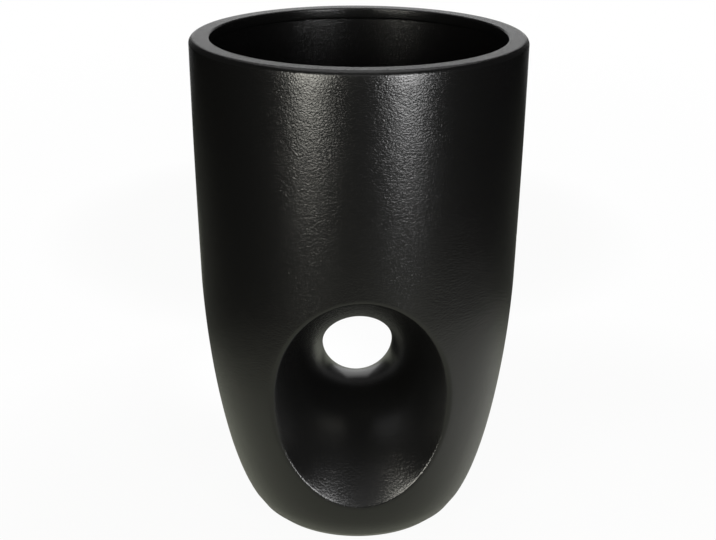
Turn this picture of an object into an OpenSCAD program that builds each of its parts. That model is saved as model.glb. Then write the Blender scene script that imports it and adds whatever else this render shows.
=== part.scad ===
// Tall round planter of black polyethylene. One hollow shell has a folded rim, a belly that draws in
// to a small foot, and a tunnel right through its lower half. The floor has a drain with a lift-out plug.
// Origin: centre of the standing ring, on the ground. +Z is up, and the tunnel runs along Y.

/* [Outer wall] */
// Height of the pot
pot_h = 520; // [480:5:580]
// Outer radius just below the rim's rounding
rim_r = 170; // [160:1:190]
// Outer radius of the standing ring, where the belly starts
foot_r = 78; // [70:0.5:90]
// Height at which the belly's curve has run out into the upper wall
belly_h = 271; // [240:1:300]
// Power that keeps the belly full towards its top
belly_top = 1.75; // [1.5:0.01:2.2]
// Power that rounds the belly into the foot
belly_foot = 2.59; // [2.2:0.01:3.4]
// How far the line of the upper wall leans in between the rim and the ground
lean = 15; // [8:0.1:24]
// Power that bends that line, so the wall is nearly upright below the rim
lean_bend = 1.36; // [1.2:0.01:2]
// Thickness of the moulded wall
wall = 5; // [4:0.5:6]

/* [Folded rim] */
// Width of the rim from the outer wall to the face of the skirt
rim_w = 20.5; // [20:0.5:28]
// Rounding on the outside of the rim
rim_round = 5.5; // [4:0.5:8]
// Rounding on the inside of the rim
rim_inner_round = 2; // [1:0.5:4]
// Depth of the skirt that the rim is folded down to
skirt_h = 12; // [11:0.5:22]
// Rounding along the skirt's lower edge
skirt_round = 2.3; // [0.6:0.1:2.4]

/* [Tunnel] */
// Width of the tunnel at its narrowest place, halfway through the pot
throat_w = 74.5; // [60:0.5:86]
// Height of the tunnel at its narrowest place
throat_h = 83; // [66:1:92]
// Height of the narrowest place's centre above the ground
throat_z = 188; // [182:0.5:194]
// Width of each mouth, measured where the tunnel meets the outer wall
mouth_w = 177; // [160:1:188]
// Height of each mouth
mouth_h = 240; // [222:1:246]
// Height of a mouth's centre above the ground
mouth_z = 175.5; // [168:0.5:180]
// Radius of the bend along the tunnel wall at the narrowest place
throat_bend = 150; // [90:5:190]
// Rounding of the lip between the tunnel and the outer wall
lip_round = 5; // [3:0.5:7]

/* [Base and drain] */
// Height of the recess under the floor, inside the standing ring
recess_h = 5; // [4:0.5:8]
// Width of the ring that the pot stands on
stand_w = 13; // [10:0.5:18]
// Thickness of the floor
floor_t = 6; // [5:0.5:9]
// Diameter of the drain through the floor
drain_d = 24; // [18:1:30]
// Gap all round the plug's stem in the drain
plug_gap = 0.3; // [0.2:0.05:0.5]
// How far the plug's head reaches past the drain all round
head_lap = 9; // [7:0.5:12]
// Thickness of the plug's head
head_t = 4; // [3:0.5:6]
// How far the stem reaches below the floor
stem_reach = 2; // [1:0.5:3]
// Height of the plug's finger grip
grip_h = 16; // [12:1:22]
// Thickness of the finger grip
grip_t = 4; // [3:0.5:6]
// Thickness of the seal under the head
seal_t = 2; // [1.5:0.5:3]
// How far the seal stays back from the head's edge
seal_back = 2; // [1:0.5:3]

/* [Hidden] */
$fn = 96;
eps = 0.01;
belly_steps = 22;
wall_steps = 10;
round_steps = 6;
corner_steps = 3;
tunnel_points = 48;
tunnel_steps = 9;
lip_steps = 3;
past_skin = 12;
past_face = 2;
bend_limit = 0.46;
sleeve_run = 1.02;

shoulder_z = pot_h - rim_round;
rim_inner_r = rim_r - rim_w;
floor_z = recess_h + floor_t;
recess_r = foot_r - stand_w;
drain_r = drain_d / 2;
stem_r = drain_r - plug_gap;
head_r = drain_r + head_lap;
head_z = floor_z + seal_t;
stem_chamfer = 1.2;
head_chamfer = 1;
grip_w = drain_d;

// Points along an arc in the plane of a section, from angle a0 to a1
function arc(r, z, radius, a0, a1, steps) =
    [for (i = [0:steps]) [r + radius * cos(a0 + (a1 - a0) * i / steps),
                          z + radius * sin(a0 + (a1 - a0) * i / steps)]];

// Line of the upper wall, which leans in slowly going down
function upper_r(z) = rim_r - lean * pow(max(0, 1 - z / pot_h), lean_bend);

// Outer radius at a height: the upper wall, drawn in to the foot by the belly's rounded curve
function belly_share(z) =
    pow(1 - pow(1 - min(1, max(0, z / belly_h)), belly_top), 1 / belly_foot);
function outer_r(z) = foot_r + (upper_r(z) - foot_r) * belly_share(z);
function outer_slope(z) = (outer_r(z + 0.5) - outer_r(z - 0.5));

// Height on the belly whose share of the way out is s
function belly_z(s) = belly_h * (1 - pow(max(0, 1 - pow(s, belly_foot)), 1 / belly_top));

// Section of the outer wall from the foot up to the rim's rounding
outer_line = concat(
    [for (i = [0:belly_steps]) let (z = belly_z(sin(90 * i / belly_steps))) [outer_r(z), z]],
    [for (i = [1:wall_steps]) let (z = belly_h + (shoulder_z - belly_h) * i / wall_steps) [outer_r(z), z]]
);
last = len(outer_line) - 1;

// The same section moved in by the wall, square to the outer one
inner_line = [for (i = [0:last])
    let (along = outer_line[min(last, i + 1)] - outer_line[max(0, i - 1)], unit = along / norm(along))
    outer_line[i] + wall * [-unit[1], unit[0]]];
inner_foot_r = lookup(floor_z, [for (p = inner_line) [p[1], p[0]]]);

module outer_form() {
    rotate_extrude()
        polygon(concat(
            [[0, 0]],
            outer_line,
            arc(rim_r - rim_round, shoulder_z, rim_round, 0, 90, round_steps),
            [[0, pot_h]]
        ));
}

// The hollow, with the channel that the folded rim leaves behind its skirt
module hollow() {
    skirt_z = pot_h - skirt_h;
    skirt_back = rim_inner_r + wall;
    skirt_edge = min(skirt_round, 0.48 * wall);
    channel_top = pot_h - wall;
    channel_outer_r = rim_r - wall;
    channel_round = min(rim_round - 1, wall);
    corner_round = 1;
    rotate_extrude()
        polygon(concat(
            [[0, floor_z], [inner_foot_r, floor_z]],
            [for (p = inner_line) if (p[1] > floor_z && p[1] < channel_top - channel_round) p],
            arc(channel_outer_r - channel_round, channel_top - channel_round, channel_round, 0, 90, round_steps),
            arc(skirt_back + corner_round, channel_top - corner_round, corner_round, 90, 180, corner_steps),
            arc(skirt_back - skirt_edge, skirt_z + skirt_edge, skirt_edge, 0, -90, corner_steps),
            arc(rim_inner_r + skirt_edge, skirt_z + skirt_edge, skirt_edge, -90, -180, corner_steps),
            arc(rim_inner_r + rim_inner_round, pot_h - rim_inner_round, rim_inner_round, 180, 90, round_steps),
            [[rim_inner_r + rim_inner_round, pot_h + past_face], [0, pot_h + past_face]]
        ));
}

// Tunnel. A direction a goes round the tunnel's axis. Seen from the front, the wall runs in that
// direction from a point on the throat's oval to a point on the mouth's oval.
function throat_at(a) = [throat_w / 2 * cos(a), throat_z + throat_h / 2 * sin(a)];
function mouth_at(a) = [mouth_w / 2 * cos(a), mouth_z + mouth_h / 2 * sin(a)];
function reach_at(a) = norm(mouth_at(a) - throat_at(a));
function heading_at(a) = (mouth_at(a) - throat_at(a)) / reach_at(a);

// Distance of the outer wall from the pot's middle plane, above a point seen from the front
function skin_y(p) = sqrt(pow(outer_r(p[1]), 2) - pow(p[0], 2));

// The wall is a hyperbola: it bends by throat_bend at the throat and straightens towards the mouth.
// Its softness is the share of the depth over which it bends.
function bend_share(a) = min(bend_limit, throat_bend * reach_at(a) / pow(skin_y(mouth_at(a)), 2));
function softness(a) = bend_share(a) / sqrt(1 - 2 * bend_share(a));
function opened(t, k) = (sqrt(k * k + t * t) - k) / (sqrt(k * k + 1) - k);
function opening_rate(t, k) = t / sqrt(k * k + t * t) / (sqrt(k * k + 1) - k);

// Point on the tunnel wall at t, from 0 at the throat to 1 at the mouth
function wall_at(a, t) =
    let (p = throat_at(a) + (mouth_at(a) - throat_at(a)) * opened(t, softness(a)))
    [p[0], skin_y(mouth_at(a)) * t, p[1]];

// Directions in space at the mouth: out along the tunnel wall, and on over the outer wall
function unit(v) = v / norm(v);
function along_tunnel(a) =
    let (rate = reach_at(a) * opening_rate(1, softness(a)), h = heading_at(a))
    unit([h[0] * rate, skin_y(mouth_at(a)), h[1] * rate]);
function along_skin(a) =
    let (m = mouth_at(a), h = heading_at(a))
    unit([h[0], (outer_r(m[1]) * outer_slope(m[1]) * h[1] - m[0] * h[0]) / skin_y(m), h[1]]);

// The lip turns from one direction to the other along a curve that touches both
function lip_turn(a) = acos(along_tunnel(a) * along_skin(a));
function lip_reach(a) = lip_round * tan(lip_turn(a) / 2);
function lip_at(a, u) =
    let (m = wall_at(a, 1), reach = lip_reach(a))
    m - pow(1 - u, 2) * reach * along_tunnel(a) + u * u * reach * along_skin(a);
function lip_heading(a, u) = unit((1 - u) * along_tunnel(a) + u * along_skin(a));
function lip_start(a) = 1 - lip_reach(a) * along_tunnel(a)[1] / skin_y(mouth_at(a));

// One ring of points round the tunnel at each place along it, from the throat outwards
directions = [for (j = [0:tunnel_points - 1]) 360 * j / tunnel_points];
tunnel_rings = concat(
    [for (i = [0:tunnel_steps - 1]) [for (a = directions) wall_at(a, lip_start(a) * i / tunnel_steps)]],
    [for (i = [0:lip_steps]) [for (a = directions) lip_at(a, i / (lip_steps + 1))]],
    [[for (a = directions) let (u = lip_steps / (lip_steps + 1)) lip_at(a, u) + past_skin * lip_heading(a, u)]]
);

// The same wall moved out into the pot's hollow by the wall's thickness, up to inside the outer wall
function wall_normal(a, t) =
    unit(cross(wall_at(a, t + 0.01) - wall_at(a, t - 0.01), wall_at(a + 1, t) - wall_at(a - 1, t)));
sleeve_rings = [for (i = [0:tunnel_steps]) [for (a = directions)
    let (t = sleeve_run * i / tunnel_steps)
    wall_at(a, t) + wall * wall_normal(a, t)]];

function mirrored(ring) = [for (p = ring) [p[0], -p[1], p[2]]];

// A closed body through rings of equal count, from the back mouth through the throat to the front one
module ringed_body(half_rings, tip_y) {
    n = len(half_rings[0]);
    top = len(half_rings) - 1;
    rings = concat(
        [for (i = [0:top]) half_rings[top - i]],
        [for (i = [1:top]) mirrored(half_rings[i])]
    );
    count = len(rings);
    points = concat([for (ring = rings) each ring], [[0, tip_y, mouth_z], [0, -tip_y, mouth_z]]);
    back_tip = count * n;
    front_tip = back_tip + 1;
    faces = concat(
        [for (i = [0:count - 2], j = [0:n - 1]) each
            let (k = (j + 1) % n, p = i * n, q = p + n)
            [[p + j, q + j, q + k], [p + j, q + k, p + k]]],
        [for (j = [0:n - 1]) [back_tip, j, (j + 1) % n]],
        [for (j = [0:n - 1]) [front_tip, (count - 1) * n + (j + 1) % n, (count - 1) * n + j]]
    );
    polyhedron(points, faces, convexity = 6);
}

module pot_shell() {
    color("#191919")
    difference() {
        outer_form();
        difference() {
            hollow();
            ringed_body(sleeve_rings, rim_r + past_skin);
        }
        ringed_body(tunnel_rings, rim_r + 3 * past_skin);
        translate([0, 0, -past_face])
            cylinder(r = recess_r, h = recess_h + past_face);
        translate([0, 0, -past_face])
            cylinder(r = drain_r, h = floor_z + 2 * past_face);
    }
}

// Plug with a chamfered stem, a flat head and a finger grip across it
module drain_plug() {
    stem_z = recess_h - stem_reach;
    grip_z = head_z + head_t;
    color("#202020") {
        rotate_extrude()
            polygon([
                [0, stem_z],
                [stem_r - stem_chamfer, stem_z],
                [stem_r, stem_z + stem_chamfer],
                [stem_r, head_z],
                [head_r, head_z],
                [head_r, grip_z - head_chamfer],
                [head_r - head_chamfer, grip_z],
                [0, grip_z]
            ]);
        translate([-grip_w / 2, -grip_t / 2, grip_z - eps])
            cube([grip_w, grip_t, grip_h - grip_w / 2 + eps]);
        translate([0, grip_t / 2, grip_z + grip_h - grip_w / 2])
            rotate([90, 0, 0])
                cylinder(r = grip_w / 2, h = grip_t);
    }
}

// Flat ring that seals the plug's head against the floor
module plug_seal() {
    color("#2b2b2b")
    translate([0, 0, floor_z])
        difference() {
            cylinder(r = head_r - seal_back, h = seal_t);
            translate([0, 0, -past_face])
                cylinder(r = drain_r, h = seal_t + 2 * past_face);
        }
}

pot_shell();
drain_plug();
plug_seal();
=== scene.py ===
# %% [markdown]
# A tall black flower pot with a tunnel through it.
# The pot is one moulded shell of black polyethylene. It has a folded rim, a pebbled skin and a tunnel in the
# shape of an hourglass that runs right through its lower half. A small plug sits in the drain in its floor.
# This lesson builds the shell as one closed surface from a few formulas, gives each piece a finish that starts
# from the real material, and lights it as a studio would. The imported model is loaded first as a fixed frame.
# Its box is kept, because the dressed pot has to stay inside it.

# %% Load the frame
import math
import bmesh
import bpy
import numpy as np
from mathutils import Matrix, Vector


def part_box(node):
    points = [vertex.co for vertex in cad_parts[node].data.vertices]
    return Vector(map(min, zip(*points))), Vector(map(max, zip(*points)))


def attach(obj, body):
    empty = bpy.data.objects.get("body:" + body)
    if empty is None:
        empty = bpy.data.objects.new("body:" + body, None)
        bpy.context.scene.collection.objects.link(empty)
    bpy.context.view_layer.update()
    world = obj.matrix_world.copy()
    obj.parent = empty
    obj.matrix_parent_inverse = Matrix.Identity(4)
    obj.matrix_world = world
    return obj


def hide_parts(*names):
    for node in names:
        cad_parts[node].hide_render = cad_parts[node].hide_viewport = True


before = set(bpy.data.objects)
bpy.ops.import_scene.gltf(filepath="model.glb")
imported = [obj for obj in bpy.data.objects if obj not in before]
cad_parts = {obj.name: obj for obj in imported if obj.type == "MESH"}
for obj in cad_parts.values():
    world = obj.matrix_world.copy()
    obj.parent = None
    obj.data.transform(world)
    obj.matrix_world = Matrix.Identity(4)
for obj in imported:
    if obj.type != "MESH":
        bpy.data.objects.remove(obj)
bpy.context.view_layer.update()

# %% [markdown]
# The driving sizes.
# The pot's height and its rim's radius are read from the frame. The other sizes are those of the part itself,
# in millimetres, because the formulas below have to draw the very same surface. Everything is worked out in
# millimetres and turned to metres once, when a mesh is made.

# %% Driving sizes in millimetres
MM = 0.001
shell_low, shell_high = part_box("pot_shell")
POT_H = round((shell_high[2] - shell_low[2]) / MM, 1)
RIM_R = round((shell_high[1] - shell_low[1]) / 2 / MM, 0)
FOOT_R = 78.0
BELLY_H, BELLY_TOP, BELLY_FOOT = 271.0, 1.75, 2.59
LEAN, LEAN_BEND = 15.0, 1.36
WALL = 5.0
RIM_W, RIM_ROUND, RIM_INNER_ROUND = 20.5, 5.5, 2.0
SKIRT_H, SKIRT_ROUND = 12.0, 2.3
THROAT_W, THROAT_H, THROAT_Z = 74.5, 83.0, 188.0
MOUTH_W, MOUTH_H, MOUTH_Z = 177.0, 240.0, 175.5
THROAT_BEND, BEND_LIMIT = 150.0, 0.46
LIP_ROUND = 5.0
RECESS_H, STAND_W = 5.0, 13.0
FLOOR_T, DRAIN_D = 6.0, 24.0
print("pot from the frame:", POT_H, "mm high,", RIM_R, "mm radius")

# %% [markdown]
# The outline.
# A moulded pot like this one is drawn as one flowing line. The upper wall leans in very slowly going down.
# Below a certain height a rounded curve, a superellipse with two powers of its own, draws it in to the foot.
# A hand-drawn curve turned on a lathe would do the same, but a formula gives the radius at any height, and the
# tunnel needs that later, where its mouth has to lie exactly on the wall.

# %% The outline as a formula
def upper_radius(z):
    """Radius of the upper wall's line: the rim's radius less a lean, which grows as a power of the share of the
    height that lies above z."""
    return RIM_R - LEAN * np.clip(1 - z / POT_H, 0, 1) ** LEAN_BEND


def outer_radius(z):
    """The upper wall's radius, drawn in to the foot by a superellipse that is 0 at the ground and 1 at BELLY_H."""
    u = np.clip(z / BELLY_H, 0, 1)
    share = (1 - (1 - u) ** BELLY_TOP) ** (1 / BELLY_FOOT)
    return FOOT_R + (upper_radius(z) - FOOT_R) * share


SLOPE_STEP = 0.05


def outer_slope(z, step=SLOPE_STEP):
    """Change of the radius per millimetre of height, by a central difference."""
    return (outer_radius(z + step) - outer_radius(z - step)) / (2 * step)


print("radius where the belly ends:", round(float(outer_radius(BELLY_H)), 1), "mm")

# %% [markdown]
# From grids to a mesh.
# Every stretch of the pot is a grid of points with two parameters. The first runs along it, and the second runs
# round. One small class collects such grids and turns them into quads. Points that meet along a border are
# merged at the end, so the pot comes out as one closed surface, as a moulding is.

# %% Grids of points to quads
MERGE_MM, SLIVER_MM = 0.02, 0.005


class Surface:
    """Collects grids of points in millimetres and turns them into one mesh in metres."""

    def __init__(self):
        self.points, self.quads, self.count = [], [], 0

    def grid(self, xyz, flip=False):
        """Adds a grid of shape (rows, columns, 3) whose last column joins its first. Flip turns the faces over."""
        rows, columns = xyz.shape[:2]
        index = self.count + np.arange(rows * columns).reshape(rows, columns)
        index = np.concatenate([index, index[:, :1]], axis=1)
        a, b, c, d = index[:-1, :-1], index[:-1, 1:], index[1:, 1:], index[1:, :-1]
        order = (a, d, c, b) if flip else (a, b, c, d)
        self.quads.append(np.stack(order, axis=-1).reshape(-1, 4))
        self.points.append(xyz.reshape(-1, 3))
        self.count += rows * columns

    def mesh(self, name):
        """The finished mesh. Points closer than MERGE_MM become one, and faces are smooth."""
        mesh = bpy.data.meshes.new(name)
        mesh.from_pydata((np.concatenate(self.points) * MM).tolist(), [], np.concatenate(self.quads).tolist())
        work = bmesh.new()
        work.from_mesh(mesh)
        bmesh.ops.remove_doubles(work, verts=work.verts, dist=MERGE_MM * MM)
        bmesh.ops.dissolve_degenerate(work, edges=work.edges, dist=SLIVER_MM * MM)
        open_edges = sum(not edge.is_manifold for edge in work.edges)
        millilitres = round(work.calc_volume(signed=True) / MM ** 3 / 1000)
        print(name, "has", len(work.faces), "faces,", open_edges, "open edges and", millilitres, "ml of plastic")
        work.to_mesh(mesh)
        work.free()
        mesh.shade_smooth()
        return mesh


# %% [markdown]
# How the grid runs.
# The band of wall that holds the tunnel's mouths is cut into a front half and a back half. Unrolled flat, each
# half is a rectangle with an oval hole in it. The rings of its grid start on the rectangle's border and shrink
# to the oval, so the border's steps across have to match the steps of the turned stretches above and below.

# %% Border of the front half
ACROSS, UP = 96, 48
BAND_LOW, BAND_HIGH = 32.0, 318.0
LEFT, RIGHT = math.pi, 2 * math.pi


def border_side(start, end, steps):
    """Points on a straight side from one (angle, height) to another, without the last."""
    share = np.linspace(0, 1, steps + 1)[:-1, None]
    return np.array(start) + (np.array(end) - np.array(start)) * share


border = np.concatenate([
    border_side((LEFT, BAND_LOW), (RIGHT, BAND_LOW), ACROSS),
    border_side((RIGHT, BAND_LOW), (RIGHT, BAND_HIGH), UP),
    border_side((RIGHT, BAND_HIGH), (LEFT, BAND_HIGH), ACROSS),
    border_side((LEFT, BAND_HIGH), (LEFT, BAND_LOW), UP),
])
print("points round each mouth:", len(border))

# %% [markdown]
# The tunnel.
# Seen from the front, each point of the mouth's oval is joined to a point of the throat's smaller oval. Along
# that line the wall opens as a hyperbola does: it bends gently halfway through the pot, at the throat, and
# straightens towards the mouth. A boolean cut would give the same hole with a torn edge. Here the rings simply
# run on from the wall, over the lip, into the tunnel and out at the back, so the skin has no seam at all.

# %% Ovals and the skin around them
def unit(v):
    """Vectors scaled to length 1."""
    return v / np.linalg.norm(v, axis=-1, keepdims=True)


def oval(width, height, centre, a):
    """Points of an oval seen from the front, as (x, z), at the parameter a."""
    return np.stack([width / 2 * np.cos(a), centre + height / 2 * np.sin(a)], axis=-1)


def skin_depth(p):
    """Distance of the outer wall from the pot's middle plane above a point (x, z): a circle of the wall's radius."""
    return np.sqrt(outer_radius(p[..., 1]) ** 2 - p[..., 0] ** 2)


def mouth_directions():
    """The oval's parameter for each border point: where the line from the mouth's centre to that point crosses
    the oval, with the wall unrolled flat."""
    across = (border[:, 0] - 1.5 * math.pi) * outer_radius(MOUTH_Z)
    return np.arctan2((border[:, 1] - MOUTH_Z) / (MOUTH_H / 2), across / (MOUTH_W / 2))


# %% [markdown]
# The class below holds the front half of the tunnel for all directions at once. Depth is measured along -Y,
# towards the front. It also knows the outer wall around the mouth, because the lip has to turn from one surface
# into the other, and for that it needs the direction of both.

# %% Front half of the tunnel
class Tunnel:
    """Wall of the tunnel from the throat (t = 0) to the mouth (t = 1), for an array of directions round it."""

    def __init__(self, a):
        self.throat = oval(THROAT_W, THROAT_H, THROAT_Z, a)
        self.mouth = oval(MOUTH_W, MOUTH_H, MOUTH_Z, a)
        self.reach = np.linalg.norm(self.mouth - self.throat, axis=-1)
        self.heading = (self.mouth - self.throat) / self.reach[:, None]
        self.depth = skin_depth(self.mouth)
        share = np.minimum(BEND_LIMIT, THROAT_BEND * self.reach / self.depth ** 2)
        self.soft = share / np.sqrt(1 - 2 * share)

    def wall(self, t):
        """Point at t. The distance opened so far follows a hyperbola of t, 0 at the throat and 1 at the mouth."""
        k = self.soft
        opened = (np.sqrt(k * k + t * t) - k) / (np.sqrt(k * k + 1) - k)
        p = self.throat + (self.mouth - self.throat) * opened[:, None]
        return np.stack([p[:, 0], -self.depth * t, p[:, 1]], axis=-1)

    def wall_heading(self, t):
        """Direction of the wall towards the mouth at t, from the hyperbola's slope."""
        k = self.soft
        rate = self.reach * t / np.sqrt(k * k + t * t) / (np.sqrt(k * k + 1) - k)
        return unit(np.stack([self.heading[:, 0] * rate, -self.depth, self.heading[:, 1] * rate], axis=-1))

    def skin(self, s):
        """Point on the outer wall, s millimetres beyond the mouth's edge as seen from the front."""
        p = self.mouth + self.heading * s[:, None]
        return np.stack([p[:, 0], -skin_depth(p), p[:, 1]], axis=-1)

    def skin_heading(self, s, step=SLOPE_STEP):
        """Direction of the outer wall away from the mouth at s, by a central difference."""
        return unit(self.skin(s + step) - self.skin(s - step))

    def feet(self, radius):
        """Where a lip of that radius leaves the tunnel wall, as t, and where it meets the outer wall, as s. Both
        lie the radius times the tangent of half the turn away from the edge."""
        edge, start = np.ones_like(self.depth), np.zeros_like(self.depth)
        inward, outward = self.wall_heading(edge), self.skin_heading(start)
        turn = np.arccos(np.sum(inward * outward, axis=-1))
        reach = radius * np.tan(turn / 2)
        return 1 + reach * inward[:, 1] / self.depth, reach * np.linalg.norm(outward[:, [0, 2]], axis=-1)


tunnel = Tunnel(mouth_directions())
print("the mouth lies", tunnel.depth.min().round(0), "to", tunnel.depth.max().round(0), "mm in front of the axis")

# %% [markdown]
# The wall's thickness.
# The inside of the shell is the outside moved in by the wall's thickness, square to the surface. So both sides
# share the same functions, which take an offset: 0 for the skin that shows, and the wall's thickness for the
# side that faces the soil.

# %% Both walls with an offset
def wall_point(theta, z, offset):
    """Point on the outer wall at an angle and a height, moved in square to it. The normal leans with the slope."""
    slope = outer_slope(z)
    square = np.sqrt(1 + slope ** 2)
    r = outer_radius(z) - offset / square
    return np.stack([r * np.cos(theta), r * np.sin(theta), z + offset * slope / square], axis=-1)


def tunnel_point(t, offset):
    """Point on the tunnel wall moved away from the tunnel's axis, square to the wall. The normal is the cross
    product of the step round the ring and the heading along it."""
    p = tunnel.wall(t)
    around = np.roll(p, -1, axis=0) - np.roll(p, 1, axis=0)
    return p + offset * unit(np.cross(around, tunnel.wall_heading(t)))


# %% [markdown]
# The lip.
# Where the tunnel meets the wall, the mould has a rounded edge of a few millimetres. The angle between the two
# surfaces changes all round the mouth, so a single torus doesn't fit. A cubic curve that leaves and arrives
# along the two given directions does, with its inner points placed as for a circle's arc.

# %% The band with its mouth, from the border to the throat
BAND_STEPS, LIP_STEPS, TUNNEL_STEPS = 22, 7, 30
INNER_LIP_ROUND = 6.0
CROWDING = 0.8


def rounded(start, leaving, end, arriving, steps):
    """A curve between two points that leaves and arrives along the given headings."""
    turn = np.arccos(np.clip(np.sum(leaving * arriving, axis=-1), -1, 1))
    chord = np.linalg.norm(end - start, axis=-1)
    arm = (4 / 3 * np.tan(turn / 4) * chord / (2 * np.sin(turn / 2)))[:, None]
    u = np.linspace(0, 1, steps + 1)[:, None, None]
    inner, outer = start + arm * leaving, end - arm * arriving
    return (1 - u) ** 3 * start + 3 * u * (1 - u) ** 2 * inner + 3 * u * u * (1 - u) * outer + u ** 3 * end


def front_half(offset, lip_radius):
    """Rings from the border of the band over the lip and through the tunnel to the throat. On the wall, a ring's
    points move in straight lines on the unrolled wall from the border to the lip's foot."""
    t_foot, s_foot = tunnel.feet(lip_radius + offset)
    foot = tunnel.skin(s_foot)
    theta_foot = np.arctan2(foot[:, 1], foot[:, 0]) % (2 * math.pi)
    u = (np.linspace(0, 1, BAND_STEPS + 1) ** CROWDING)[:, None]
    theta = border[:, 0] + (theta_foot - border[:, 0]) * u
    z = border[:, 1] + (foot[:, 2] - border[:, 1]) * u
    band = wall_point(theta, z, offset)
    lip = rounded(band[-1], -tunnel.skin_heading(s_foot),
                  tunnel_point(t_foot, offset), -tunnel.wall_heading(t_foot), LIP_STEPS)
    tube = np.stack([tunnel_point(t_foot * s, offset) for s in np.linspace(1, 0, TUNNEL_STEPS + 1)])
    return np.concatenate([band, lip[1:], tube[1:]])


# %% [markdown]
# Joining the two halves.
# The back half could be the front half turned by 180 degrees, but then its points on the throat would run the
# other way round and miss those of the front half. Mirrored in Y they meet point for point, and the faces are
# wound the other way to keep them facing out.

# %% Both halves, outside and inside
MIRROR_Y = np.array([1, -1, 1])
shell = Surface()
outside = front_half(0.0, LIP_ROUND)
inside = front_half(WALL, INNER_LIP_ROUND)
shell.grid(outside)
shell.grid(outside * MIRROR_Y, flip=True)
shell.grid(inside, flip=True)
shell.grid(inside * MIRROR_Y)
print("rings from the band's border to the throat:", len(outside))

# %% [markdown]
# Turned stretches.
# Above and below the band the shell is a turned shape: a profile, given as radius and height, goes once round
# the pot's axis. The lathe tool of a modeller would do it too, but here the turned grid has to start at the same
# angle and take the same steps as the band's border, so that the two meet point for point.

# %% Helpers for profiles
def arc(r, z, radius, start, end, steps):
    """Points (radius, height) on a circle about (r, z) from one angle to another, in degrees."""
    a = np.radians(np.linspace(start, end, steps + 1))
    return np.stack([r + radius * np.cos(a), z + radius * np.sin(a)], axis=1)


def level(r0, r1, z, steps):
    """Points on a level line from one radius to another."""
    return np.stack([np.linspace(r0, r1, steps), np.full(steps, z)], axis=1)


def wall_profile(z, offset):
    """Radius and height along the wall at the given heights, moved in square to it."""
    return wall_point(0 * z, z, offset)[:, [0, 2]]


def turned(profile):
    """A profile turned about Z. The angles start at the band's left border, so that both grids meet."""
    theta = LEFT + np.linspace(0, 2 * math.pi, 2 * ACROSS + 1)[:-1]
    r, z = profile[:, 0:1], profile[:, 1:2]
    return np.stack([r * np.cos(theta), r * np.sin(theta), z + 0 * theta], axis=-1)


# %% [markdown]
# The folded rim.
# A pot of this kind gets its stiff, thick-looking rim from a fold: the wall turns in and then down to a short
# skirt, and a narrow channel is left behind it. The profile climbs the outside, goes over the rounding and the
# flat top, down the skirt, up behind it into the channel, and down the inside. A sharp ring with a bevel would
# look alike from far off, but it would round all edges by the same amount. Arcs give each edge its own radius.

# %% The folded rim
UPPER_STEPS, ROUND_STEPS, SKIRT_STEPS, CORNER_STEPS = 16, 9, 5, 4
CORNER = 1.0
MARGIN = 1.0


def rim_profile():
    """From the band's top up the outside, over the rim and the skirt, and down the inside."""
    shoulder = POT_H - RIM_ROUND
    inner_r = RIM_R - RIM_W
    skirt_z, skirt_back = POT_H - SKIRT_H, inner_r + WALL
    top, channel_r = POT_H - WALL, min(RIM_ROUND - MARGIN, WALL)
    return np.concatenate([
        wall_profile(np.linspace(BAND_HIGH, shoulder, UPPER_STEPS), 0.0)[:-1],
        arc(RIM_R - RIM_ROUND, shoulder, RIM_ROUND, 0, 90, ROUND_STEPS),
        level(RIM_R - RIM_ROUND - MARGIN, inner_r + RIM_INNER_ROUND + MARGIN, POT_H, 3),
        arc(inner_r + RIM_INNER_ROUND, POT_H - RIM_INNER_ROUND, RIM_INNER_ROUND, 90, 180, ROUND_STEPS),
        arc(inner_r + SKIRT_ROUND, skirt_z + SKIRT_ROUND, SKIRT_ROUND, 180, 270, SKIRT_STEPS),
        arc(skirt_back - SKIRT_ROUND, skirt_z + SKIRT_ROUND, SKIRT_ROUND, -90, 0, SKIRT_STEPS),
        arc(skirt_back + CORNER, top - CORNER, CORNER, 180, 90, CORNER_STEPS),
        arc(RIM_R - WALL - channel_r, top - channel_r, channel_r, 90, 0, ROUND_STEPS),
        wall_profile(np.linspace(top - channel_r - MARGIN, BAND_HIGH, UPPER_STEPS), WALL),
    ])


rim = rim_profile()
shell.grid(turned(rim))
print("points along the rim's profile:", len(rim), "and the skirt hangs", SKIRT_H, "mm down")

# %% [markdown]
# The floor, the drain and the foot.
# The pot stands on a narrow ring, and its floor lies a little higher, so that it doesn't rock and water gets away
# from the drain. The profile runs in over the floor, down the drain, out under the recess and the ring, and up
# the outside. The wall starts out level at the ground and turns up fast. Even steps in height would leave that
# turn coarse, so there the heights follow a sine along the superellipse, which crowds points where it bends.

# %% The floor, the drain and the foot
LOWER_STEPS, TURN_STEPS, FLOOR_STEPS, RECESS_STEPS, STAND_STEPS, EDGE_STEPS = 24, 13, 9, 6, 5, 3
EDGE = 0.8
FILLET_W, FILLET_H = 1.5, 0.3
DRAIN_MARGIN, RECESS_MARGIN = 2.0, 3.0
TURN_SHARE = 0.9


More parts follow.
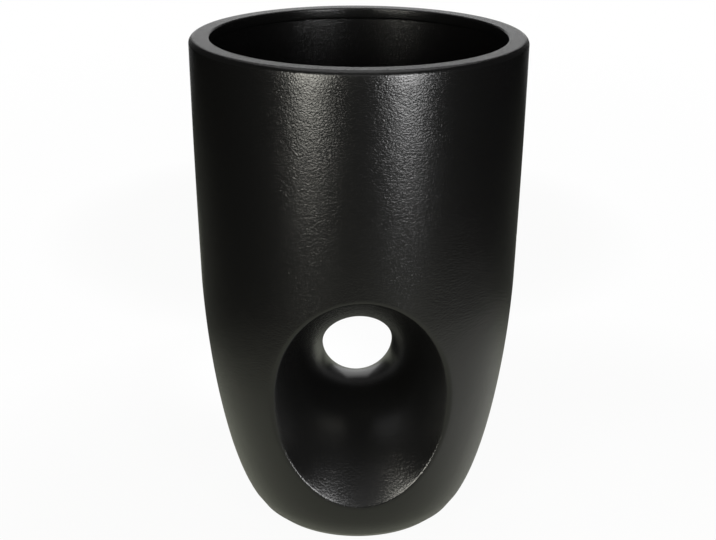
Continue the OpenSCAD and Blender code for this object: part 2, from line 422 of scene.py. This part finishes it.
def foot_profile():
    """From the band's bottom on the inside, over the floor, down the drain, out under the recess and the standing
    ring, and up the outside. Near the ground the heights follow a sine, because the wall starts out level."""
    floor_z, recess_r, drain_r = RECESS_H + FLOOR_T, FOOT_R - STAND_W, DRAIN_D / 2
    inner = wall_profile(np.linspace(BAND_LOW, 0, LOWER_STEPS), WALL)
    inner = inner[inner[:, 1] > floor_z + FILLET_H]
    share = np.sin(np.linspace(0, 1, TURN_STEPS) * math.pi / 2)
    rising = BELLY_H * (1 - (1 - share ** BELLY_FOOT) ** (1 / BELLY_TOP))
    rising = np.append(rising[rising < TURN_SHARE * BAND_LOW], BAND_LOW)
    return np.concatenate([
        inner,
        level(inner[-1, 0] - FILLET_W, drain_r + DRAIN_MARGIN, floor_z, FLOOR_STEPS),
        arc(drain_r + EDGE, floor_z - EDGE, EDGE, 90, 180, EDGE_STEPS),
        arc(drain_r + EDGE, RECESS_H + EDGE, EDGE, 180, 270, EDGE_STEPS),
        level(drain_r + RECESS_MARGIN, recess_r - CORNER - MARGIN, RECESS_H, RECESS_STEPS),
        arc(recess_r - CORNER, RECESS_H - CORNER, CORNER, 90, 0, EDGE_STEPS),
        arc(recess_r + EDGE, EDGE, EDGE, 180, 270, EDGE_STEPS),
        level(recess_r + DRAIN_MARGIN, FOOT_R - MARGIN, 0.0, STAND_STEPS),
        wall_profile(rising, 0.0),
    ])


foot = foot_profile()
shell.grid(turned(foot))
print("points along the foot's profile:", len(foot), "and the pot stands on a ring", STAND_W, "mm wide")

# %% [markdown]
# One object for the moulding.
# The new shell stands for the imported one, which is hidden, and rides on the same body. It stays at the
# origin, unturned, because its place is already in its mesh.

# %% The shell as an object
moulded_shell = bpy.data.objects.new("moulded_shell", shell.mesh("moulded_shell"))
bpy.context.scene.collection.objects.link(moulded_shell)
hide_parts("pot_shell")
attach(moulded_shell, "shell")

# %% [markdown]
# Finishes.
# Colours are given as sRGB hex, as a colour picker shows them, and one function turns them into the linear
# values that the shader works in. One small function adds a node with its settings and links.

# %% Colour and node helpers
def linear(hex_code):
    """sRGB hex to linear RGBA: each channel over 255, then the sRGB curve undone."""
    channels = [int(hex_code[i:i + 2], 16) / 255 for i in (1, 3, 5)]
    return tuple(c / 12.92 if c <= 0.04045 else ((c + 0.055) / 1.055) ** 2.4 for c in channels) + (1.0,)


def add_node(tree, kind, settings=None, inputs=None, links=None):
    """Adds a node of the given kind. Settings are its properties, inputs its socket values, and links map its
    input sockets to output sockets of earlier nodes."""
    node = tree.nodes.new(kind)
    for name, value in (settings or {}).items():
        setattr(node, name, value)
    for name, value in (inputs or {}).items():
        node.inputs[name].default_value = value
    for name, source in (links or {}).items():
        tree.links.new(source, node.inputs[name])
    return node


def new_material(name):
    """An empty node material with its output and shader."""
    material = bpy.data.materials.new(name)
    material.use_nodes = True
    tree = material.node_tree
    tree.nodes.clear()
    shader = add_node(tree, "ShaderNodeBsdfPrincipled")
    add_node(tree, "ShaderNodeOutputMaterial", links={"Surface": shader.outputs["BSDF"]})
    return material, tree, shader


# %% [markdown]
# Pebbled polyethylene.
# The pot is cast from black polyethylene powder in a hot, turning mould, whose sand-blasted and etched walls
# leave a pebbled skin. That gives the eye a deep black with a satin sheen, which breaks up into fine grains
# where a lamp is mirrored. The grains are a little under 2 mm wide. A cell pattern that a noise bends gives
# their edges, and a soft noise of the same size gives their uneven heights. Real geometry would need millions
# of faces for this, so the grains are bump: they are less than a tenth of a millimetre high. The core that forms
# the tunnel's throat is smoother, so the grains fade out towards the pot's axis. A slow wave of a few
# centimetres stands for the way such a wall shrinks unevenly as it cools.

# %% Pebbled polyethylene
GRAIN_MM, SWELL_MM = 1.7, 38.0
BEND_SIZE, BEND_REACH = 1.6, 1.8
CELL_DEPTH_MM, PEBBLE_DEPTH_MM, SWELL_DEPTH_MM = 0.075, 0.28, 0.6
THROAT_R, GRAINED_R, THROAT_SHARE = 50.0, 140.0, 0.15


def pebbled_polyethylene():
    """Rotationally moulded polyethylene, coloured black in the mass. The bend's size and reach are in grains."""
    material, tree, shader = new_material("pebbled_black_polyethylene")
    place = add_node(tree, "ShaderNodeTexCoord").outputs["Object"]
    bend = add_node(tree, "ShaderNodeTexNoise", inputs={"Scale": 1 / (BEND_SIZE * GRAIN_MM * MM), "Detail": 1.0},
                    links={"Vector": place})
    bent = add_node(tree, "ShaderNodeVectorMath", settings={"operation": "MULTIPLY_ADD"},
                    inputs={1: (BEND_REACH * GRAIN_MM * MM,) * 3}, links={0: bend.outputs["Color"], 2: place})
    cells = add_node(tree, "ShaderNodeTexVoronoi", settings={"feature": "SMOOTH_F1"},
                     inputs={"Scale": 1 / (GRAIN_MM * MM), "Smoothness": 0.5}, links={"Vector": bent.outputs[0]})
    pebbles = add_node(tree, "ShaderNodeTexNoise", inputs={"Scale": 1 / (GRAIN_MM * MM), "Detail": 2.0},
                       links={"Vector": place})
    swell = add_node(tree, "ShaderNodeTexNoise", inputs={"Scale": 1 / (SWELL_MM * MM), "Detail": 1.0},
                     links={"Vector": place})
    shader.inputs["Base Color"].default_value = linear("#0d0d0d")
    shader.inputs["Roughness"].default_value = 0.23
    shader.inputs["IOR"].default_value = 1.5
    sides = add_node(tree, "ShaderNodeVectorMath", settings={"operation": "MULTIPLY"},
                     inputs={1: (1, 1, 0)}, links={0: place})
    from_axis = add_node(tree, "ShaderNodeVectorMath", settings={"operation": "LENGTH"},
                         links={0: sides.outputs[0]})
    coarse = add_node(tree, "ShaderNodeMapRange", settings={"interpolation_type": "SMOOTHSTEP"},
                      inputs={"From Min": THROAT_R * MM, "From Max": GRAINED_R * MM, "To Min": THROAT_SHARE},
                      links={"Value": from_axis.outputs["Value"]})
    grain = add_node(tree, "ShaderNodeBump", inputs={"Distance": CELL_DEPTH_MM * MM},
                     links={"Height": cells.outputs["Distance"], "Strength": coarse.outputs["Result"]})
    grit = add_node(tree, "ShaderNodeBump", inputs={"Distance": PEBBLE_DEPTH_MM * MM},
                    links={"Height": pebbles.outputs["Fac"], "Normal": grain.outputs["Normal"],
                           "Strength": coarse.outputs["Result"]})
    waves = add_node(tree, "ShaderNodeBump", inputs={"Strength": 0.5, "Distance": SWELL_DEPTH_MM * MM},
                     links={"Height": swell.outputs["Fac"], "Normal": grit.outputs["Normal"]})
    tree.links.new(waves.outputs["Normal"], shader.inputs["Normal"])
    return material


moulded_shell.data.materials.append(pebbled_polyethylene())
print("grains", GRAIN_MM, "mm wide, full beyond", GRAINED_R, "mm from the axis")

# %% [markdown]
# Plug and seal.
# The plug is injection moulded from black polypropylene, which is matt and smoother than the pot. The seal is
# black rubber, which is duller still. Both lie inside on the floor and hardly get any light, so their imported
# shapes stay as they are, and one small function serves both. Each gets a fine grain, drawn a little coarser
# than the real one.

# %% Plug and seal
PLAIN_DEPTH_MM = 0.1


def plain_finish(name, colour, roughness, grain_mm):
    """A smooth moulded finish with a faint unevenness."""
    material, tree, shader = new_material(name)
    shader.inputs["Base Color"].default_value = linear(colour)
    shader.inputs["Roughness"].default_value = roughness
    place = add_node(tree, "ShaderNodeTexCoord")
    grain = add_node(tree, "ShaderNodeTexNoise", inputs={"Scale": 1 / (grain_mm * MM), "Detail": 1.0},
                     links={"Vector": place.outputs["Object"]})
    bump = add_node(tree, "ShaderNodeBump", inputs={"Strength": 0.3, "Distance": PLAIN_DEPTH_MM * MM},
                    links={"Height": grain.outputs["Fac"]})
    tree.links.new(bump.outputs["Normal"], shader.inputs["Normal"])
    return material


def dress(node, material):
    """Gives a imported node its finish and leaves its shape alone."""
    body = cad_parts[node]
    body.data.materials.clear()
    body.data.materials.append(material)
    print(node, "is", material.name.replace("_", " "))


dress("drain_plug", plain_finish("matt_black_polypropylene", "#1c1c1c", 0.5, 0.8))
dress("plug_seal", plain_finish("matt_black_rubber", "#262626", 0.75, 0.5))

# %% [markdown]
# The white table.
# The pot stands on white paper. To the camera the paper is plain white without an edge. In reflections it is
# a slightly warm white near the pot and ends in the dark of the studio, which is what leaves the pot's upper
# sides black. An evenly white floor would be simpler, but it would turn a glossy black pot grey. So the paper is
# made of round patches: one round the pot, one behind it and a weak, wide one further back. They mark where the
# paper lies, and their levels and soft edges are painted light, for how strongly each stretch is lit. The pot
# shades the paper close behind it, and a patch that is taken away is that shadow, painted. The paper gives back
# light as pale paper does, and beside the pot on the right its colour is a painted pool of light, where the
# right soft box is nearest. It keeps a faint shadow that the lamps cast. Each patch below has the x and y
# of its centre, the radius of its full part, the radius where it ends, all in metres, and its level.

# %% Paper
# The dark colour stands for the studio beyond the paper and for the painted shadow behind the pot.
DARK_PAPER_AND_PAINTED_SHADE, PALE_PAPER, PAINTED_LIT_PAPER, MIRRORED_PAPER = "#1c1c1c", "#c3c6b7", "#f2f2ee", "#fcffed"
PAPER_SIZE, PAPER_Z = 12.0, -0.0005
# Each patch marks where the paper lies, and its level and soft edge are painted light, for how lit it is.
PAPER_AND_PAINTED_LIGHT_PATCHES = ((0.12, -0.10, 0.36, 0.82, 1.0), (0.0, 0.95, 0.35, 0.60, 1.0), (0.0, 1.10, 0.60, 1.70, 0.2))
# A painted shadow: the pot's shade on the paper close behind it.
SHADE = (-0.08, 0.33, 0.06, 0.20, 0.85)
# A painted pool of light: the paper beside the pot on the right, nearest the right soft box, is made lighter.
PAINTED_LIGHT_POOL = (0.45, -0.05, 0.15, 0.45, 1.0)
SHADOW_SHARE = 0.05
MIRRORED_SHARE = 0.15


def paper_and_painted_light_patch(tree, x, y, full, gone, level):
    """A patch round a point (x, y) in metres, for the paper and for the painted light and shadow on it: the level
    within one radius, falling in an S-curve to nothing at the other."""
    place = add_node(tree, "ShaderNodeNewGeometry")
    away = add_node(tree, "ShaderNodeVectorMath", settings={"operation": "DISTANCE"},
                    inputs={1: (x, y, 0)}, links={0: place.outputs["Position"]})
    return add_node(tree, "ShaderNodeMapRange", settings={"interpolation_type": "SMOOTHSTEP"},
                    inputs={"From Min": full, "From Max": gone, "To Min": level, "To Max": 0.0},
                    links={"Value": away.outputs["Value"]})


def paper_material():
    """Diffuse paper that ends in the dark, with painted light and a painted shadow in its colour and its glow,
    mixed with plain white for the camera and some of it for reflections.
    """
    material, tree, shader = new_material("white_paper")
    shader.inputs["Roughness"].default_value = 0.9
    path = add_node(tree, "ShaderNodeLightPath")
    # The patches give where the paper lies, with painted light in their levels and soft edges.
    near, middle, far = (paper_and_painted_light_patch(tree, *patch).outputs["Result"] for patch in PAPER_AND_PAINTED_LIGHT_PATCHES)
    back = add_node(tree, "ShaderNodeMath", settings={"operation": "MAXIMUM"}, links={0: middle, 1: far})
    lit = add_node(tree, "ShaderNodeMath", settings={"operation": "MAXIMUM"}, links={0: near, 1: back.outputs[0]})
    # The pot's shadow behind it is painted here, by taking a patch away.
    paper = add_node(tree, "ShaderNodeMath", settings={"operation": "SUBTRACT", "use_clamp": True},
                     links={0: lit.outputs[0], 1: paper_and_painted_light_patch(tree, *SHADE).outputs["Result"]})
    # Painted pool of light: the paper's colour turns lighter beside the pot on the right.
    paper_with_painted_pool = add_node(tree, "ShaderNodeMix", settings={"data_type": "RGBA"},
                     inputs={6: linear(PALE_PAPER), 7: linear(PAINTED_LIT_PAPER)},
                     links={0: paper_and_painted_light_patch(tree, *PAINTED_LIGHT_POOL).outputs["Result"]})
    colour = add_node(tree, "ShaderNodeMix", settings={"data_type": "RGBA"},
                      inputs={6: linear(DARK_PAPER_AND_PAINTED_SHADE)}, links={0: paper.outputs[0], 7: paper_with_painted_pool.outputs[2]})
    tree.links.new(colour.outputs[2], shader.inputs["Base Color"])
    # The glow that reflections see follows the same painted light and painted shadow.
    level_seen = add_node(tree, "ShaderNodeMath", settings={"operation": "MAXIMUM"},
                          links={0: path.outputs["Is Camera Ray"], 1: paper.outputs[0]})
    tint = add_node(tree, "ShaderNodeMix", settings={"data_type": "RGBA"},
                    inputs={6: linear(MIRRORED_PAPER), 7: linear("#ffffff")},
                    links={0: path.outputs["Is Camera Ray"]})
    white = add_node(tree, "ShaderNodeEmission",
                     links={"Color": tint.outputs[2], "Strength": level_seen.outputs[0]})
    whole = add_node(tree, "ShaderNodeMapRange", inputs={"To Min": 1.0, "To Max": 1 - SHADOW_SHARE},
                     links={"Value": paper.outputs[0]})
    direct = add_node(tree, "ShaderNodeMath", settings={"operation": "MULTIPLY"},
                      links={0: path.outputs["Is Camera Ray"], 1: whole.outputs["Result"]})
    mirrored = add_node(tree, "ShaderNodeMath", settings={"operation": "MULTIPLY"},
                        inputs={1: MIRRORED_SHARE}, links={0: path.outputs["Is Glossy Ray"]})
    seen = add_node(tree, "ShaderNodeMath", settings={"operation": "MAXIMUM"},
                    links={0: direct.outputs[0], 1: mirrored.outputs[0]})
    through = add_node(tree, "ShaderNodeMath", settings={"operation": "MAXIMUM"},
                       links={0: seen.outputs[0], 1: path.outputs["Is Transmission Ray"]})
    mix = add_node(tree, "ShaderNodeMixShader",
                   links={0: through.outputs[0], 1: shader.outputs["BSDF"], 2: white.outputs["Emission"]})
    tree.links.new(mix.outputs[0], tree.nodes["Material Output"].inputs["Surface"])
    return material


def paper_sheet(width, height):
    """A flat square under the pot."""
    w = width / 2
    mesh = bpy.data.meshes.new("paper")
    mesh.from_pydata([(-w, -w, height), (w, -w, height), (w, w, height), (-w, w, height)], [], [(0, 1, 2, 3)])
    mesh.materials.append(paper_material())
    piece = bpy.data.objects.new("paper", mesh)
    bpy.context.scene.collection.objects.link(piece)
    return piece


paper_sheet(PAPER_SIZE, PAPER_Z)
print("white round the pot to", PAPER_AND_PAINTED_LIGHT_PATCHES[0][2], "m, dark beyond", PAPER_AND_PAINTED_LIGHT_PATCHES[0][3], "m")

# %% [markdown]
# The room.
# To the camera the room is white, like the paper. To everything else it is nearly dark, as a studio is: walls
# and curtains would only be mirrored as a faint grey, so one low level all round does the same as real ones.

# %% Room
ROOM_LEVEL = 0.03


def studio_room():
    """A world that is white to the camera and dim to all other rays."""
    world = bpy.data.worlds.new("studio_room")
    world.use_nodes = True
    tree = world.node_tree
    tree.nodes.clear()
    path = add_node(tree, "ShaderNodeLightPath")
    seen = add_node(tree, "ShaderNodeMath", settings={"operation": "MAXIMUM"},
                    links={0: path.outputs["Is Camera Ray"], 1: path.outputs["Is Transmission Ray"]})
    strength = add_node(tree, "ShaderNodeMapRange", inputs={"To Min": ROOM_LEVEL, "To Max": 1.0},
                        links={"Value": seen.outputs[0]})
    background = add_node(tree, "ShaderNodeBackground", inputs={"Color": (1, 1, 1, 1)},
                          links={"Strength": strength.outputs["Result"]})
    add_node(tree, "ShaderNodeOutputWorld", links={"Surface": background.outputs[0]})
    return world


bpy.context.scene.world = studio_room()

# %% [markdown]
# Lamps.
# A glossy black pot shows little but what it mirrors, so each lamp is there for one thing that it draws. Two tall
# soft boxes in front give the two upright bands on the pebbled wall, brightest below the rim. A card straight
# behind is mirrored by the flat top of the rim and by the bottom of the throat, and a wider, dimmer one beside
# it by the edges of the upper wall. A card overhead runs along the rim's rounding, and a small one high in front
# reaches the tunnel's floor. Each lamp below has its name, its azimuth in degrees, its distance, its height, the
# height that it aims at, its width and height in metres, its brightness where 1 is white, and its colour. The
# left soft box is a little warmer than the right one.

# %% Lamps
WHITE, WARM_WHITE = "#ffffff", "#fffdf2"
LAMPS = (
    ("left_soft_box", -32.0, 1.66, 0.60, 0.45, (0.42, 0.90), 16, WARM_WHITE),
    ("right_soft_box", 28.5, 1.66, 0.60, 0.45, (0.40, 0.90), 18, WHITE),
    ("front_card", -1.8, 1.6, 1.40, 0.1, (1.8, 0.7), 0.5, WHITE),
    ("back_card", 178.3, 1.6, 0.50, 0.50, (1.15, 1.00), 0.75, WHITE),
    ("back_wall", 178.3, 1.65, 0.42, 0.42, (2.0, 0.80), 0.12, WHITE),
    ("top_card", 178.3, 0.4, 2.1, 0.52, (1.6, 2.2), 0.95, WHITE),
)


def soft_box(name, azimuth, distance, height, aim_height, size, level_seen, colour):
    """A rectangular lamp at an azimuth, measured from the front towards +X. Its power is its area times pi times
    the brightness that a mirror would show, where 1 is white."""
    light = bpy.data.lights.new(name, "AREA")
    light.shape = "RECTANGLE"
    light.size, light.size_y = size
    light.energy = math.pi * size[0] * size[1] * level_seen
    light.color = linear(colour)[:3]
    lamp = bpy.data.objects.new(name, light)
    turn = math.radians(azimuth)
    lamp.location = (distance * math.sin(turn), -distance * math.cos(turn), height)
    aim = Vector((0, 0, aim_height)) - lamp.location
    lamp.rotation_euler = aim.to_track_quat("-Z", "Y").to_euler()
    lamp.visible_camera = False
    bpy.context.scene.collection.objects.link(lamp)
    print(name, "gives", round(light.energy, 2), "W")


for lamp_row in LAMPS:
    soft_box(*lamp_row)

# %% [markdown]
# The camera.
# Its place was worked out from the ovals of the rim and the foot and from the outline. It looks down by about
# twenty degrees from the front, a touch from the left, and leans by a third of a degree.

# %% Camera
SENSOR_MM = 36.0
FRAME_PIXELS, LENS_PIXELS, SHIFT_PIXELS = 716.0, 1464.5, 0.34
CAMERA_OUT, CAMERA_UP = 1.4561, 0.8052
AZIMUTH, PITCH, ROLL = (math.radians(a) for a in (-1.77, 20.217, 0.316))

view = bpy.data.cameras.new("camera")
view.sensor_width = SENSOR_MM
view.lens = LENS_PIXELS / FRAME_PIXELS * view.sensor_width
view.shift_x = SHIFT_PIXELS / FRAME_PIXELS
camera = bpy.data.objects.new("camera", view)
camera.location = (CAMERA_OUT * math.sin(AZIMUTH), -CAMERA_OUT * math.cos(AZIMUTH), CAMERA_UP)
aimed = Matrix.Rotation(AZIMUTH, 3, "Z") @ Matrix.Rotation(math.pi / 2 - PITCH, 3, "X")
camera.rotation_euler = (aimed @ Matrix.Rotation(ROLL, 3, "Z")).to_euler()
bpy.context.scene.collection.objects.link(camera)
bpy.context.scene.camera = camera
bpy.context.scene.view_settings.view_transform = "Standard"
print("lens:", round(view.lens, 1), "mm on a sensor", SENSOR_MM, "mm wide")
